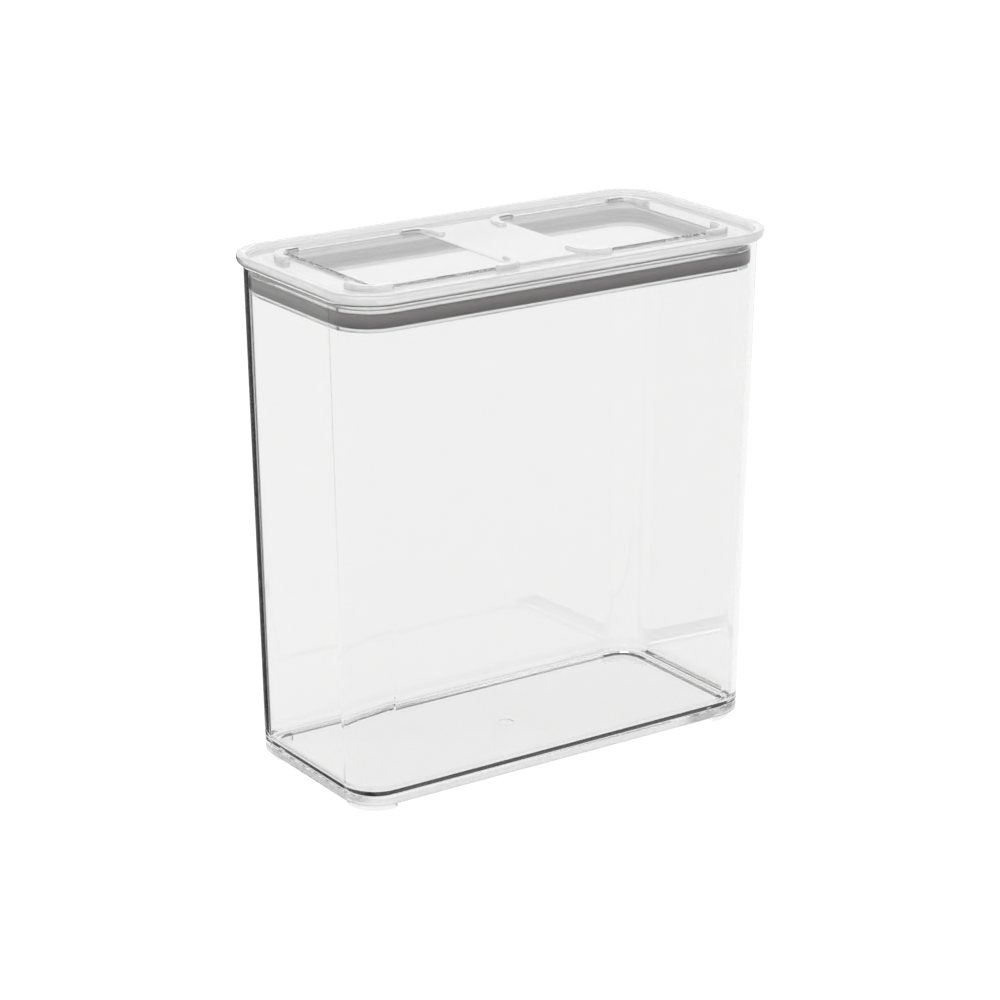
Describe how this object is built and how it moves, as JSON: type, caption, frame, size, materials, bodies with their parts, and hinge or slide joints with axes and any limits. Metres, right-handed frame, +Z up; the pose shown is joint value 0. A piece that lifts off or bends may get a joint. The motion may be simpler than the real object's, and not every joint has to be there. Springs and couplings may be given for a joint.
{
  "type": "airtight storage container",
  "caption": "Tall clear rectangular food container with drafted walls, corner feet and a hazy clear plug lid with a raised middle, stacking lugs and a soft grey seal.",
  "frame": {"origin": "centre of the footprint, on the surface that the four feet stand on", "axes": "+Z up, +X along the long side, front long wall faces -Y"},
  "size_m": [0.1984, 0.0978, 0.2052],
  "materials": {
    "clear_tub": "clear polished styrene plastic",
    "hazy_lid": "hazy clear plastic, satin on the border and the middle band, smooth on the two windows between",
    "grey_seal": "soft matt elastomer"
  },
  "bodies": {
    "tub": {"container_tub": "clear_tub"},
    "lid": {"plug_lid": "hazy_lid", "seal_ring": "grey_seal"}
  },
  "joints": [
    {"name": "lid_lift", "type": "slide", "parent": "tub", "child": "lid", "axis": [0, 0, 1], "range_m": [0, 0.15]}
  ]
}
